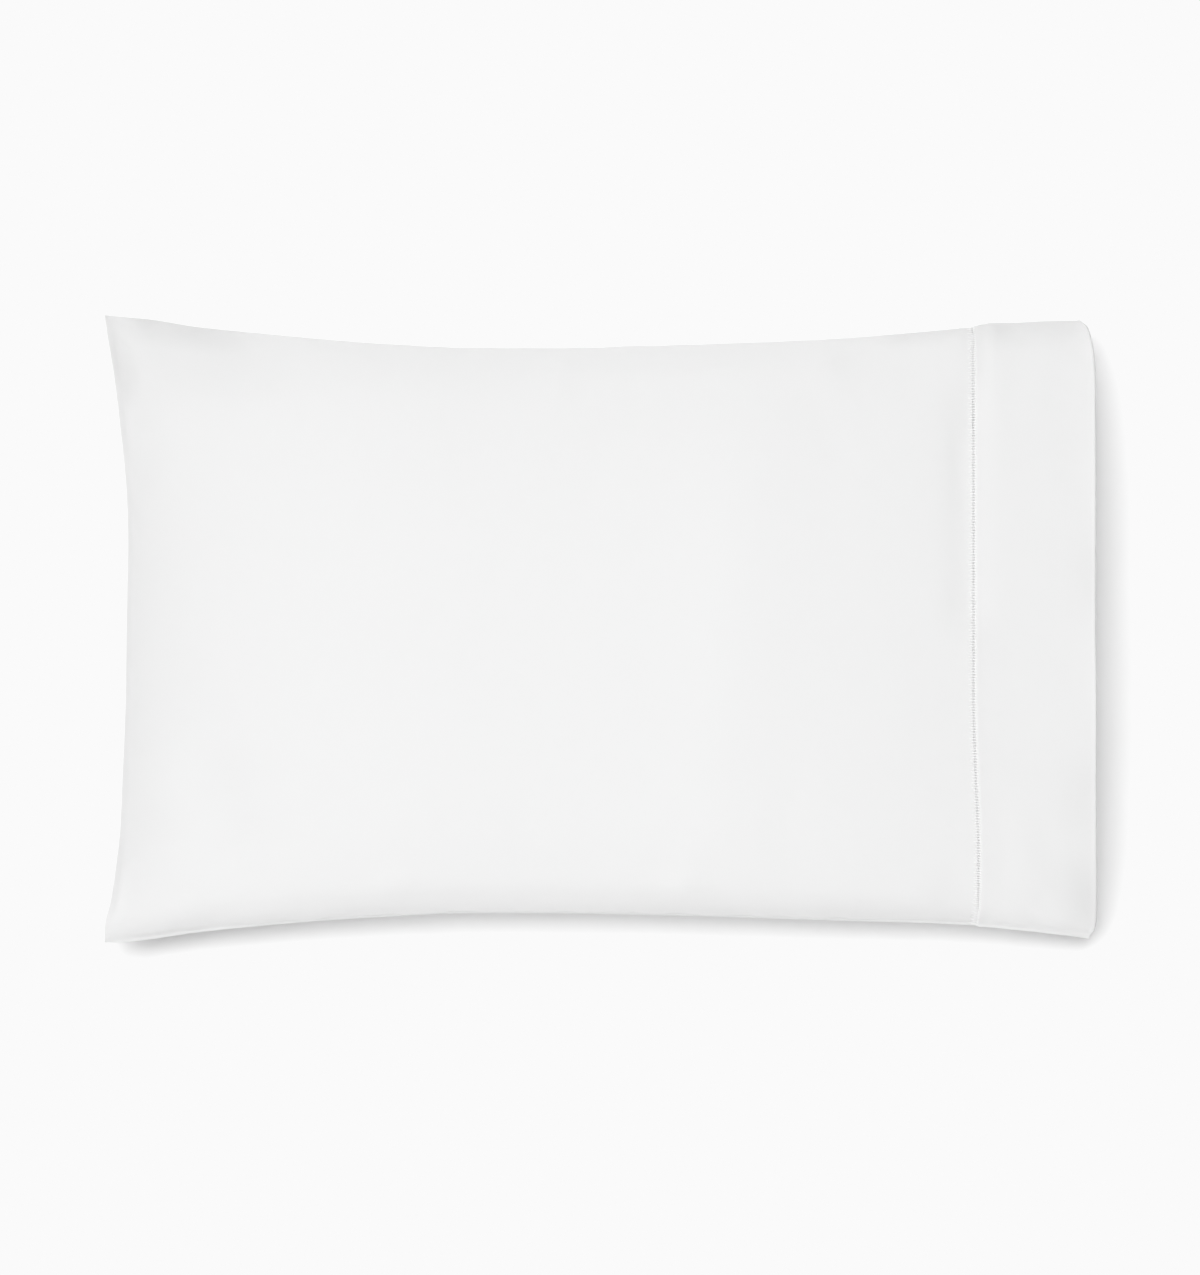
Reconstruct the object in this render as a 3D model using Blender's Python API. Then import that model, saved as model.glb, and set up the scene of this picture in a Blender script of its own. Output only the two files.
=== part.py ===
"""A white hemstitched pillowcase, filled by its pillow and lying on its back.

Metres, +Z up. The origin is on the surface that the case lies on, under the middle of its box.
+X runs to the open end and +Y to the folded long side.

A maker cuts the case as one piece: folded along its +Y side, seamed along its -Y side and across
the closed end at -X, and turned in at the open end for a deep hem. So it is one solid. The pillow
fills it up to the hem, where the solid opens into the mouth between the two sides of the hem.
"""

import bmesh
import bpy
import numpy as np

MM = 0.001

# Driving dimensions, in millimetres.
LENGTH = 838.0  # corner to corner along the case: a standard case is 33 in long
CROWN = 98.0  # how far the top stands over the side creases at the fullest point
BELLY = 108.0  # the same for the underside, before the surface flattens it
FLATTENING = 12.0  # how softly the underside turns up from the flat it lies on
HEM_THICKNESS = 2.4  # two plies of cloth, with the hollow of the fold at the open end
MOUTH_SHARE = 0.42  # how full the case still is at the open end, as a share of the crown
MOUTH_DEPTH = 84.0  # from the open end to the nose of the pillow
POCKET_DEPTH = 106.0  # from the open end to where the pillow meets the hem all round
UNDER_HEM_SETBACK = 3.0  # how far the lower hem stops short of the upper one

# How the fullness rises and falls, with places as shares of the length from the closed end.
FULL_FROM = 0.36
SHOULDER_AT = 0.60
CLOSED_END_ROUNDNESS = 2.3  # how long the closed end stays full
CLOSED_END_RISE = 0.55  # how steeply it rises from its seam
SHOULDER_POWER = 1.6  # how late the top falls towards the open end
ACROSS_ROUNDNESS = 2.5  # how wide the top stays level, from side to side
SIDE_RISE = 0.5  # how steeply it rises from the side creases in the middle: a half is round
CLOSED_END_CREASING = 0.2  # how much sharper the side creases get at the closed end
OPEN_END_CREASING = 0.25  # and at the open end
NOSE_ROUNDNESS = 3  # how flat the pillow's nose stays from side to side
EDGE_FADE = 8  # how late the folds fade out towards the side creases
SETBACK_POWER = 12  # how late the lower hem draws back

# The long sides, seen from above and from the side, in millimetres:
# along, folded side's y, seamed side's y, height of both creases.
LONG_SIDES = (
    (-418.7, 265.0, -265.0, 50.0),
    (-382.0, 262.1, -263.0, 56.0),
    (-341.0, 255.7, -257.0, 62.0),
    (-254.0, 246.7, -248.3, 69.0),
    (-137.0, 237.9, -241.8, 73.0),
    (-62.0, 236.8, -240.6, 74.0),
    (15.0, 238.3, -241.7, 74.0),
    (116.0, 241.3, -244.4, 74.0),
    (218.0, 247.0, -247.2, 72.0),
    (317.0, 256.0, -249.8, 66.0),
    (345.0, 259.0, -252.6, 63.0),
    (372.0, 259.9, -256.5, 60.0),
    (410.0, 260.0, -260.4, 55.0),
)

# The closed end's seam: y, x, height.
CLOSED_END = (
    (265.0, -418.7, 50.0),
    (225.0, -413.3, 56.0),
    (164.0, -405.9, 65.0),
    (75.0, -400.0, 73.0),
    (0.0, -401.4, 74.0),
    (-101.0, -403.6, 71.0),
    (-182.0, -408.0, 63.0),
    (-240.0, -417.6, 53.0),
    (-265.0, -419.3, 50.0),
)

# The open end's fold, halfway between the upper and lower hem: y, x, height.
OPEN_END = (
    (260.0, 410.0, 55.0),
    (252.0, 414.0, 56.0),
    (211.0, 417.4, 60.0),
    (120.0, 418.2, 65.0),
    (0.0, 418.4, 67.0),
    (-90.0, 419.0, 65.0),
    (-150.0, 418.4, 62.0),
    (-229.0, 419.3, 58.0),
    (-251.0, 416.6, 56.0),
    (-260.4, 410.0, 55.0),
)

# Soft folds on the upper side, as lines in plan:
# from x, from y, to x, to y, half width, height (a trough is below nought).
FOLDS = (
    (-297.0, 192.0, -68.0, 197.0, 16.0, 1.2),  # ridge along the folded side
    (-34.0, 207.0, 180.0, 212.0, 20.0, 1.6),  # the same ridge, further along
    (-339.0, -209.0, 237.0, -197.0, 18.0, 2.2),  # ridge along the seamed side
    (-345.0, -120.0, -330.0, -168.0, 30.0, -4.0),  # hollow near the closed end
    (-372.0, 238.0, -305.0, 236.0, 16.0, -3.0),  # hollow behind the folded corner
    (122.0, 160.0, 97.0, -145.0, 42.0, 2.0),  # shoulder where the top begins to fall
    (297.0, 190.0, 302.0, 10.0, 20.0, -2.6),  # trough beside the hem
    (385.0, 55.0, 418.0, 46.0, 26.0, -3.0),  # dents in the hem's edge
    (370.0, -140.0, 418.0, -132.0, 26.0, -4.0),
)

ALONG_STEPS = 44
ACROSS_STEPS = 28
POCKET_STEPS = 7
NOSE_STEPS = 5
NEARLY_NONE = 1e-6  # keeps a share off nought, where it divides


def smooth_through(table, column, at):
    """The table's column at these places in its first column, along a curve with no overshoot."""
    rows = sorted(table)
    place = np.array([row[0] for row in rows])
    value = np.array([row[column] for row in rows])
    step = np.diff(place)
    slope = np.diff(value) / step
    before, after = 2 * step[1:] + step[:-1], step[1:] + 2 * step[:-1]
    tangent = slope[[0, *range(len(slope))]].copy()
    for i, (left, right) in enumerate(zip(slope, slope[1:], strict=False)):
        turns = left * right <= 0
        mean = before[i] / left + after[i] / right if not turns else 1.0
        tangent[i + 1] = 0.0 if turns else (before[i] + after[i]) / mean
    at = np.clip(at, place[0], place[-1])
    cell = np.clip(np.searchsorted(place, at) - 1, 0, len(step) - 1)
    width = step[cell]
    share = (at - place[cell]) / width
    return (
        value[cell] * (1 + 2 * share) * (1 - share) ** 2
        + tangent[cell] * width * share * (1 - share) ** 2
        + value[cell + 1] * share**2 * (3 - 2 * share)
        - tangent[cell + 1] * width * share**2 * (1 - share)
    )


def long_side(along, column):
    """A long side's crease at these shares of the length, from the closed end."""
    start = CLOSED_END[0 if column == 1 else -1][1]
    x = start + along * (LONG_SIDES[-1][0] - start)
    return np.stack(
        [x, smooth_through(LONG_SIDES, column, x), smooth_through(LONG_SIDES, 3, x)], axis=-1
    )


def end_line(table, across):
    """An end's line at these places across, from -1 at the seamed side to 1 at the folded side."""
    y = table[-1][0] + (across + 1) / 2 * (table[0][0] - table[-1][0])
    return np.stack([smooth_through(table, 1, y), y, smooth_through(table, 2, y)], axis=-1)


def middle_surface(along, across):
    """The surface halfway between top and underside, spanned between the four edge lines."""
    u, v = along[..., None], (across[..., None] + 1) / 2
    folded, seamed = long_side(along, 1), long_side(along, 2)
    closed, opened = end_line(CLOSED_END, across), end_line(OPEN_END, across)
    corner = {
        (end, side): end_line(table, np.array(float(side)))
        for end, table in ((0, CLOSED_END), (1, OPEN_END))
        for side in (-1, 1)
    }
    corners = (1 - u) * ((1 - v) * corner[0, -1] + v * corner[0, 1]) + u * (
        (1 - v) * corner[1, -1] + v * corner[1, 1]
    )
    points = (1 - u) * closed + u * opened + (1 - v) * seamed + v * folded - corners
    points[..., 2] = mixed_height(u, v, closed, opened, seamed, folded)
    return points


def mixed_height(u, v, closed, opened, seamed, folded):
    """The edges' heights, each counting for more the nearer it is."""
    u, v = (np.clip(share[..., 0], NEARLY_NONE, 1 - NEARLY_NONE) for share in (u, v))
    edges = ((closed, u), (opened, 1 - u), (seamed, v), (folded, 1 - v))
    total = sum(1 / away for _, away in edges)
    return sum(edge[..., 2] / away for edge, away in edges) / total


def fullness_along(along):
    """How full the case is, from nought at the closed end to the mouth's share at the open one."""
    towards_end = np.clip(1 - along / FULL_FROM, 0, 1)
    rise = (1 - towards_end**CLOSED_END_ROUNDNESS) ** CLOSED_END_RISE
    past_shoulder = np.clip((along - SHOULDER_AT) / (1 - SHOULDER_AT), 0, 1)
    return rise * (1 - (1 - MOUTH_SHARE) * past_shoulder**SHOULDER_POWER)


def edge_sharpness(along):
    """The power that shapes a cross section: round in the middle, creased at both ends."""
    near_closed = np.clip(1 - along / FULL_FROM, 0, 1) ** 2
    near_open = np.clip((along - SHOULDER_AT) / (1 - SHOULDER_AT), 0, 1) ** 2
    return SIDE_RISE + CLOSED_END_CREASING * near_closed + OPEN_END_CREASING * near_open


def fullness(along, across):
    """The filled thickness on one side of the middle surface, as a share of its crown."""
    hollow = np.clip(1 - np.abs(across) ** ACROSS_ROUNDNESS, 0, 1)
    return fullness_along(along) * hollow ** edge_sharpness(along)


def fold_height(x, y, across):
    """The soft folds' height at these points in plan, fading out at the creases."""
    total = np.zeros(np.shape(x))
    for from_x, from_y, to_x, to_y, half_width, height in FOLDS:
        run = np.array([to_x - from_x, to_y - from_y])
        share = ((x - from_x) * run[0] + (y - from_y) * run[1]) / (run @ run)
        share = np.clip(share, 0, 1)
        away = np.hypot(x - from_x - share * run[0], y - from_y - share * run[1])
        total += height * np.exp(-((away / half_width) ** 2))
    return total * (1 - np.abs(across) ** EDGE_FADE)


def soft_floor(height):
    """Heights with what is under the surface brought up to it, and the turn rounded."""
    turn = (height + FLATTENING) ** 2 / (4 * FLATTENING)
    return np.where(height > FLATTENING, height, np.where(height < -FLATTENING, 0.0, turn))


def skin(along, across, upper, inset=0.0):
    """Points on the case's upper or lower skin, or that far inside it, in millimetres."""
    along, across = np.broadcast_arrays(along, across)
    points = middle_surface(along, across)
    thick = fullness(along, across)
    if upper:
        lift = np.maximum(CROWN * thick - inset, 0)
        points[..., 2] += lift + fold_height(points[..., 0], points[..., 1], across)
        return points
    drop = np.maximum(BELLY * thick - inset, 0)
    points[..., 2] = soft_floor(points[..., 2] - drop)
    points[..., 0] -= UNDER_HEM_SETBACK * along**SETBACK_POWER * (1 - across**2)
    return points


def inner_reach(along, inset):
    """How far across the inside of the hem reaches at this share of the length."""
    share = (inset / (BELLY * fullness_along(along))) ** (1 / edge_sharpness(along))
    return (1 - share) ** (1 / ACROSS_ROUNDNESS)


def across_places():
    """Places across, from the folded side to the seamed side, closer together at the creases."""
    return np.sin(np.linspace(np.pi / 2, -np.pi / 2, ACROSS_STEPS + 1))


def loop(upper, lower):
    """One closed ring of points: over the top and back along the underside."""
    return np.concatenate([upper, lower[::-1][1:-1]])


def outer_rings():
    """Rings from the first one past the closed end's seam to the open end."""
    across = across_places()
    last = 1 - HEM_THICKNESS / 2 / LENGTH
    shares = np.linspace(0, 1, ALONG_STEPS + 1)[1:]
    crowded_at_seam = (shares + shares**2) / 2
    for along in crowded_at_seam * last:
        yield loop(skin(along, across, True), skin(along, across, False))


def fold_ring():
    """The ring along the tip of the hem's fold, halfway through its thickness."""
    across = across_places()
    half = HEM_THICKNESS / 2
    reach = across * inner_reach(1.0, half)
    return loop(skin(1.0, reach, True, half), skin(1.0, reach, False, half))


def pocket_rings():
    """Rings along the inside of the hem, from the open end in to the pillow."""
    across = across_places()
    for depth in np.linspace(HEM_THICKNESS / 2, POCKET_DEPTH, POCKET_STEPS + 1):
        along = 1 - depth / LENGTH
        reach = across * inner_reach(along, HEM_THICKNESS)
        yield loop(
            skin(along, reach, True, HEM_THICKNESS), skin(along, reach, False, HEM_THICKNESS)
        )


def nose_ring(share):
    """A ring on the pillow's end, from the pocket's foot at nought to the pillow's nose at one."""
    across = across_places()
    nose = MOUTH_DEPTH + (POCKET_DEPTH - MOUTH_DEPTH) * np.abs(across) ** NOSE_ROUNDNESS
    along = 1 - (POCKET_DEPTH + (nose - POCKET_DEPTH) * share) / LENGTH
    reach = across * inner_reach(along, HEM_THICKNESS)
    upper = skin(along, reach, True, HEM_THICKNESS)
    lower = skin(along, reach, False, HEM_THICKNESS)
    middle = (upper + lower) / 2
    left = np.sqrt(1 - share)
    return middle + (upper - middle) * left, middle + (lower - middle) * left


def add_ring(mesh, points):
    return [mesh.verts.new(point * MM) for point in points]


def bridge(mesh, first, second):
    """Quads between two closed rings of the same count."""
    for i in range(len(first)):
        j = (i + 1) % len(first)
        mesh.faces.new((first[i], first[j], second[j], second[i]))


def close_on_row(mesh, ring, row):
    """Faces from a closed ring to the open row of points that its two sides meet on."""
    steps = len(row) - 1
    under = [ring[0], *ring[:steps:-1], ring[steps]]
    for i in range(steps):
        for side in (ring, under):
            corners = (side[i], side[i + 1], row[i + 1], row[i])
            mesh.faces.new(dict.fromkeys(corners))


def case_mesh():
    """The whole case as one closed mesh."""
    mesh = bmesh.new()
    seam = add_ring(mesh, end_line(CLOSED_END, across_places()))
    rings = [add_ring(mesh, points) for points in outer_rings()]
    rings.append(add_ring(mesh, fold_ring()))
    rings += [add_ring(mesh, points) for points in pocket_rings()]
    for share in np.linspace(0, 1, NOSE_STEPS + 1)[1:-1]:
        rings.append(add_ring(mesh, loop(*nose_ring(share))))
    nose = add_ring(mesh, nose_ring(1.0)[0])
    close_on_row(mesh, rings[0], seam)
    for first, second in zip(rings, rings[1:], strict=False):
        bridge(mesh, first, second)
    close_on_row(mesh, rings[-1], nose)
    bmesh.ops.recalc_face_normals(mesh, faces=mesh.faces)
    return mesh


def cotton():
    """The finish of the case: white cotton with a soft surface."""
    material = bpy.data.materials.new("white_cotton")
    material.use_nodes = True
    shader = material.node_tree.nodes["Principled BSDF"]
    shader.inputs["Base Color"].default_value = (0.84, 0.84, 0.84, 1.0)
    shader.inputs["Roughness"].default_value = 0.85
    shader.inputs["Metallic"].default_value = 0.0
    return material


def main():
    for old in list(bpy.data.objects):
        bpy.data.objects.remove(old)
    built = case_mesh()
    data = bpy.data.meshes.new("pillowcase")
    built.to_mesh(data)
    built.free()
    data.materials.append(cotton())
    data.shade_smooth()
    case = bpy.data.objects.new("pillowcase", data)
    bpy.context.scene.collection.objects.link(case)


main()
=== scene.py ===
import math

import bpy
import numpy as np
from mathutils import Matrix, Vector


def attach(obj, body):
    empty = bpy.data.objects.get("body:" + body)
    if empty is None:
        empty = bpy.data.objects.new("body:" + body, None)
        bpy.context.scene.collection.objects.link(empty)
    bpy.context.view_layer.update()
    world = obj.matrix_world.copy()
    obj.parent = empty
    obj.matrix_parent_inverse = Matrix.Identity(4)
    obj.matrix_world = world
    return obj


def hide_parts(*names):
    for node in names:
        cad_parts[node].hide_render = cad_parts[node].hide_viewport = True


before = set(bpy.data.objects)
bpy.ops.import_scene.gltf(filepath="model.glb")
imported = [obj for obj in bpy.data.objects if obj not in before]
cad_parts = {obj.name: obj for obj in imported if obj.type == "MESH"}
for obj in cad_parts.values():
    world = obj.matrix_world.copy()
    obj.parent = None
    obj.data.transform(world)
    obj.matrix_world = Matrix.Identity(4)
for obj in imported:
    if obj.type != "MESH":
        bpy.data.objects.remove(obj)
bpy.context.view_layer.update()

# The looks of a white hemstitched pillowcase, filled by its pillow and lying on its back.
# Shapes are worked out in millimetres and built in metres: +X is the open end, +Y the folded side.
# Places on the case are shares: along runs from 0 at the closed end to 1 at the open end, and
# across from -1 at the seamed side to 1 at the folded side.
MM = 0.001

# ---------------------------------------------------------------- the photograph's view
PIXEL = 25.4 / 30  # millimetres to a pixel of the photograph, at the height of the side creases
PHOTO_HEIGHT = 1275
LENS = 100.0  # the camera's, in millimetres, as is its sensor
SENSOR = 36.0
CREASE_HEIGHT = 65.0  # the height at which sizes in plan are true
LOWEST_CREASE = 40.0  # what lies lower is set off for the camera as if it lay here
CAMERA_HEIGHT = CREASE_HEIGHT + LENS / SENSOR * PHOTO_HEIGHT * PIXEL
CAMERA_OVER = np.array([-0.5 * PIXEL, -8.0 * PIXEL])  # the place in plan under the camera

# ---------------------------------------------------------------- sizes, in millimetres
LENGTH = 838.0
CROWN = 98.0  # how high the filling lifts the upper cloth over the surface between the creases
BELLY = 108.0  # how far it would push the lower cloth down, if there were no floor
FLATTENING = 12.0  # how softly the lower cloth turns onto the floor
MOUTH_DEPTH = 84.0  # from the open end to the pillow's end, in the middle
POCKET_DEPTH = 106.0  # the same at the sides
UNDER_HEM_SETBACK = 3.0  # how far the lower hem's edge lies behind the upper one's
HEM_DEPTH = 101.6
HEM_WALL = 2.4  # the hem's two plies together
HEM_PLY = 0.8  # how far the second ply lifts the hem over the rest of the case
HEM_PLY_RISE = 2.4  # the width over which it does so
HEM_LIP = 0.3  # how far the hem swells beside the hemstitch
HEM_LIP_AT = 4.0
HEM_LIP_WIDTH = 3.2
HEM_LINE_REACH = 60.0  # how far from the hemstitch the cloth shifts along with its line
HEM_LINE_FADE = 20.0  # the last stretch before the open end, where that shift fades out
FOLD_BEAD = 0.3  # how far the fold at the open end swells over the hem
FOLD_BEAD_AT = 1.26
FOLD_BEAD_WIDTH = 1.4
GROOVE_HALF = 0.75  # half the width of the row of openings in the hemstitch
GROOVE_WALL = 0.25  # half the width over which the row's walls fall
GROOVE_DEPTH = 1.5
GROOVE_ENDS = (2.0, 7.0)  # from the sides: where the row has closed, and where it is open
SEAM_RIDGE = 2.2  # how far the seam's edge stands out from the sides that it joins
SEAM_RIDGE_WIDTH = 1.0
SEAM_DIP = 0.9  # how deep the cloth dips beside the seam
SEAM_DIP_AT = 4.8
SEAM_DIP_WIDTH = 2.8
SEAM_DIP_SPREAD = 0.4  # how much that depth varies, as a share
PUCKER = 1.0  # how high the stitches' puckers would stand if they didn't fade
PUCKER_RISE = 2.0  # how soon they begin beside the seam's edge
PUCKER_REACH = 8.0  # and how far they run out from it
PUCKER_WAVES = (9.0, 13.0, 23.0, 41.0)
END_SEAM = 0.35  # the closed end's seam, as a share of the long side's
CORNER = 10.0  # how near to a corner the standing seams flatten out

# ---------------------------------------------------------------- shares and powers of the form
FULL_FROM = 0.36  # along, where the case first has its full height
SHOULDER_AT = 0.60  # along, where it begins to fall towards the open end
MOUTH_SHARE = 0.42  # what is left of the height at the open end
CLOSED_END_ROUNDNESS = 2.3
CLOSED_END_RISE = 0.66
SHOULDER_POWER = 1.6
FOLDED_ROUNDNESS = 3.3
SEAMED_ROUNDNESS = 5.2
SIDE_RISE = 0.48  # a half makes a round side, and more a sharper crease
CLOSED_END_CREASING = 0.2
OPEN_END_CREASING = 0.25
NOSE_ROUNDNESS = 3
EDGE_FADE = 30  # the higher, the nearer to the creases the soft folds keep their height
SETBACK_POWER = 12
PAINTED_SHADE_RUN_OUT = 2.0  # how much more slowly the painted shade fades past its lines' ends

# the long sides' creases: x, folded side's y, seamed side's y, height of both
LONG_SIDES = (
    (-419.6, 266.2, -265.2, 58.0),
    (-407.0, 265.0, -263.3, 59.0),
    (-382.0, 262.6, -260.2, 61.0),
    (-341.0, 256.1, -254.2, 64.0),
    (-290.0, 251.0, -248.9, 66.5),
    (-239.0, 246.2, -244.6, 69.5),
    (-188.0, 242.1, -241.4, 72.0),
    (-112.0, 238.4, -238.1, 73.5),
    (-36.0, 238.1, -238.3, 74.0),
    (41.0, 239.9, -239.6, 74.0),
    (116.0, 242.4, -241.6, 74.0),
    (193.0, 245.8, -244.1, 72.8),
    (269.0, 252.2, -246.2, 70.0),
    (304.0, 255.6, -247.8, 67.5),
    (316.0, 256.6, -248.4, 66.5),
    (322.0, 258.9, -248.8, 66.0),
    (345.0, 259.0, -251.0, 63.0),
    (371.0, 260.2, -253.6, 60.0),
    (412.0, 260.8, -258.4, 55.0),
)

# the closed end's seam: y, x, height
CLOSED_END = (
    (266.2, -419.8, 54.0),
    (245.0, -415.9, 56.0),
    (204.0, -409.5, 61.0),
    (164.0, -405.0, 65.0),
    (123.0, -400.9, 70.0),
    (82.0, -399.2, 73.0),
    (0.0, -400.6, 74.0),
    (-62.0, -401.4, 73.0),
    (-123.0, -403.9, 69.0),
    (-164.0, -405.6, 65.5),
    (-204.0, -410.0, 63.0),
    (-229.0, -413.8, 62.0),
    (-248.0, -418.4, 61.0),
    (-265.2, -420.0, 60.0),
)

# the open end's fold, halfway between the upper and lower hem: y, x, height
OPEN_END = (
    (260.8, 407.5, 55.0),
    (256.2, 412.4, 55.4),
    (251.0, 414.4, 56.0),
    (246.0, 415.8, 56.5),
    (236.7, 417.6, 57.5),
    (209.6, 419.5, 60.0),
    (120.0, 419.9, 65.0),
    (0.0, 419.7, 67.0),
    (-60.0, 420.4, 66.0),
    (-150.0, 420.2, 62.0),
    (-229.0, 420.6, 58.0),
    (-243.0, 420.2, 57.0),
    (-250.0, 419.4, 56.4),
    (-255.5, 418.0, 55.6),
    (-258.4, 414.8, 55.0),
)

# the hemstitch line: y, x
HEM_LINE = (
    (256.0, 314.2),
    (246.0, 315.6),
    (-60.0, 316.0),
    (-110.0, 317.2),
    (-195.0, 320.2),
    (-232.0, 319.8),
    (-250.0, 317.6),
)

# Soft folds on the upper side, as lines in plan:
# from x, from y, to x, to y, half width, height (a trough is below nought)
FOLDS = (
    (-297.0, 200.0, -40.0, 207.0, 18.0, 2.5),  # ridge along the folded side
    (-30.0, 221.0, 190.0, 226.0, 16.0, 4.8),  # the same ridge, further along
    (-320.0, -232.0, -180.0, -225.0, 16.0, 4.0),  # ridge along the seamed side
    (-180.0, -224.0, 70.0, -225.0, 18.0, 6.5),
    (70.0, -226.0, 270.0, -231.0, 16.0, 4.5),
    (-332.0, -125.0, -320.0, -168.0, 30.0, -5.0),  # hollow near the closed end
    (122.0, 160.0, 97.0, -145.0, 42.0, 2.0),  # shoulder where the top begins to fall
    (314.0, 192.0, 316.0, 20.0, 17.0, -3.1),  # trough along the hemstitch
)

# Where painted shade greys the cloth along its rims and in its corners, in the same terms,
# with how deep the painted shade is, up to 1, in place of the height
PAINTED_SHADE_LINES = (
    (-382.0, 261.0, -346.0, 255.0, 23.0, 1.0),  # behind the folded corner
    (-417.0, 257.0, -408.0, 228.0, 19.0, 0.7),  # down the closed end from there
    (-362.0, 228.0, -345.0, 226.0, 33.0, 0.45),  # the corner's soft inner side
    (200.0, 247.0, 314.0, 257.0, 6.0, 0.3),  # the folded side before the hem
    (255.0, 251.0, 314.0, 257.0, 9.0, 0.8),
    (325.0, 260.0, 400.0, 262.0, 16.0, 0.8),  # the folded side of the hem
    (417.0, -236.0, 419.0, -246.0, 15.0, 0.75),  # the hem's seamed corner
    (398.0, -224.0, 404.0, -236.0, 24.0, 0.3),
    (324.0, -251.0, 410.0, -259.0, 10.0, 0.6),  # the seamed side of the hem
    (-415.0, -263.0, -341.0, -254.0, 12.0, 0.8),  # the seamed side of the body
    (-341.0, -254.0, -188.0, -241.0, 7.0, 0.7),
    (-188.0, -241.0, 41.0, -240.0, 7.0, 0.7),
    (41.0, -240.0, 193.0, -244.0, 8.0, 0.75),
    (193.0, -244.0, 314.0, -248.0, 10.0, 0.8),
)

# Where the whole edge of the case droops, in the terms of the folds
DROOPS = (
    (-372.0, 263.0, -302.0, 255.0, 16.0, -14.0),  # behind the folded corner
    (-427.0, 264.0, -421.0, 212.0, 18.0, -8.0),  # the closed end below that corner
    (-392.0, -266.0, -340.0, -260.0, 14.0, -5.0),  # behind the seamed corner
    (345.0, 265.0, 396.0, 267.0, 15.0, -12.0),  # the folded side of the hem
    (430.0, 60.0, 430.0, 40.0, 20.0, -4.0),  # the hem's edge
    (432.0, -126.0, 432.0, -150.0, 28.0, -7.0),
    (434.0, -222.0, 424.0, -262.0, 32.0, -14.0),  # the hem's seamed corner
)


# ---------------------------------------------------------------- the form of the filled case
def smooth_through(table, column, at):
    """The table's column at these places in its first column, along a curve with no overshoot."""
    rows = sorted(table)
    place = np.array([row[0] for row in rows])
    value = np.array([row[column] for row in rows])
    step = np.diff(place)
    slope = np.diff(value) / step
    before, after = 2 * step[1:] + step[:-1], step[1:] + 2 * step[:-1]
    tangent = slope[[0, *range(len(slope))]].copy()
    for i, (left, right) in enumerate(zip(slope, slope[1:], strict=False)):
        turns = left * right <= 0
        mean = before[i] / left + after[i] / right if not turns else 1.0
        tangent[i + 1] = 0.0 if turns else (before[i] + after[i]) / mean
    at = np.clip(at, place[0], place[-1])
    cell = np.clip(np.searchsorted(place, at) - 1, 0, len(step) - 1)
    width = step[cell]
    share = (at - place[cell]) / width
    return (
        value[cell] * (1 + 2 * share) * (1 - share) ** 2
        + tangent[cell] * width * share * (1 - share) ** 2
        + value[cell + 1] * share**2 * (3 - 2 * share)
        - tangent[cell + 1] * width * share**2 * (1 - share)
    )


def long_side(along, column):
    """A long side's crease at these shares of the length, from the closed end."""
    start, end = (table[0 if column == 1 else -1][1] for table in (CLOSED_END, OPEN_END))
    x = start + along * (end - start)
    return np.stack(
        [x, smooth_through(LONG_SIDES, column, x), smooth_through(LONG_SIDES, 3, x)], axis=-1
    )


def end_line(table, across):
    """An end's line at these places across, from -1 at the seamed side to 1 at the folded side."""
    y = table[-1][0] + (across + 1) / 2 * (table[0][0] - table[-1][0])
    return np.stack([smooth_through(table, 1, y), y, smooth_through(table, 2, y)], axis=-1)


def middle_surface(along, across):
    """The surface halfway between top and underside, spanned between the four edge lines."""
    u, v = along[..., None], (across[..., None] + 1) / 2
    folded, seamed = long_side(along, 1), long_side(along, 2)
    closed, opened = end_line(CLOSED_END, across), end_line(OPEN_END, across)
    corner = {
        (end, side): end_line(table, np.array(float(side)))
        for end, table in ((0, CLOSED_END), (1, OPEN_END))
        for side in (-1, 1)
    }
    corners = (1 - u) * ((1 - v) * corner[0, -1] + v * corner[0, 1]) + u * (
        (1 - v) * corner[1, -1] + v * corner[1, 1]
    )
    points = (1 - u) * closed + u * opened + (1 - v) * seamed + v * folded - corners
    u, v = (np.clip(share[..., 0], 1e-6, 1 - 1e-6) for share in (u, v))
    edges = ((closed, u), (opened, 1 - u), (seamed, v), (folded, 1 - v))
    total = sum(1 / away for _, away in edges)
    points[..., 2] = sum(edge[..., 2] / away for edge, away in edges) / total
    return points


def fullness_along(along):
    """How full the case is at these places along, as a share of its full height."""
    towards_end = np.clip(1 - along / FULL_FROM, 0, 1)
    rise = (1 - towards_end**CLOSED_END_ROUNDNESS) ** CLOSED_END_RISE
    past_shoulder = np.clip((along - SHOULDER_AT) / (1 - SHOULDER_AT), 0, 1)
    return rise * (1 - (1 - MOUTH_SHARE) * past_shoulder**SHOULDER_POWER)


def edge_sharpness(along):
    """The power that draws the long sides in to their creases, sharper towards both ends."""
    near_closed = np.clip(1 - along / FULL_FROM, 0, 1) ** 2
    near_open = np.clip((along - SHOULDER_AT) / (1 - SHOULDER_AT), 0, 1) ** 2
    return SIDE_RISE + CLOSED_END_CREASING * near_closed + OPEN_END_CREASING * near_open


def across_roundness(across):
    return np.where(across > 0, FOLDED_ROUNDNESS, SEAMED_ROUNDNESS)


def fullness(along, across):
    """The filled thickness on one side of the middle surface, as a share of its crown."""
    hollow = np.clip(1 - np.abs(across) ** across_roundness(across), 0, 1)
    return fullness_along(along) * hollow ** edge_sharpness(along)


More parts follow.
